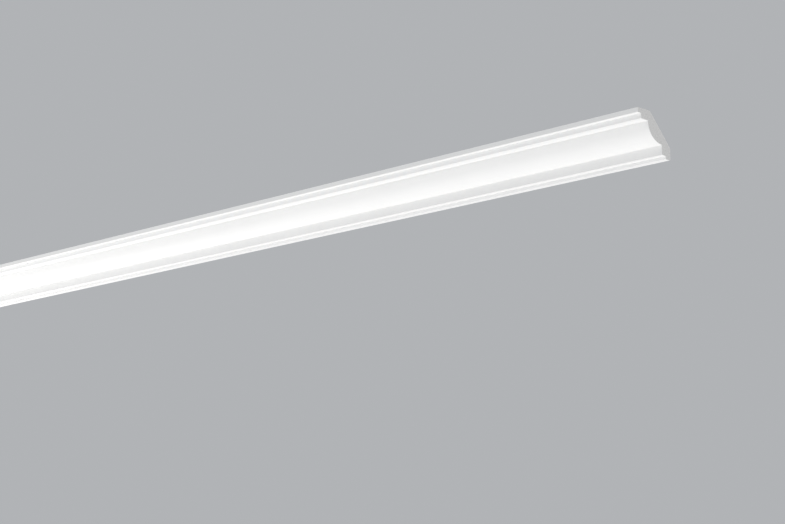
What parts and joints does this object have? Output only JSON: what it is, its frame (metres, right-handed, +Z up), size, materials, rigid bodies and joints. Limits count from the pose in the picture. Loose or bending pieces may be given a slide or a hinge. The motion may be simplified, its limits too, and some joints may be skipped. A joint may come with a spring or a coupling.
{
  "type": "ceiling cornice moulding",
  "caption": "Straight length of white foam ceiling cornice, with stepped fillets above and below a convex ovolo face, square-cut ends and a sloped back between its wall and ceiling faces.",
  "frame": {"origin": "centre of the face that bears on the wall, half way along the length", "axes": "+X along the length, to the right as seen from the room; +Y out of the rear bearing face, into the wall; +Z up, towards the ceiling"},
  "size_m": [2, 0.088, 0.0758],
  "materials": {
    "foam": "smooth white extruded polystyrene skin, matt, with fine bare cells on the cut ends"
  },
  "bodies": {
    "root": {"cornice_moulding": "foam"}
  },
  "joints": []
}
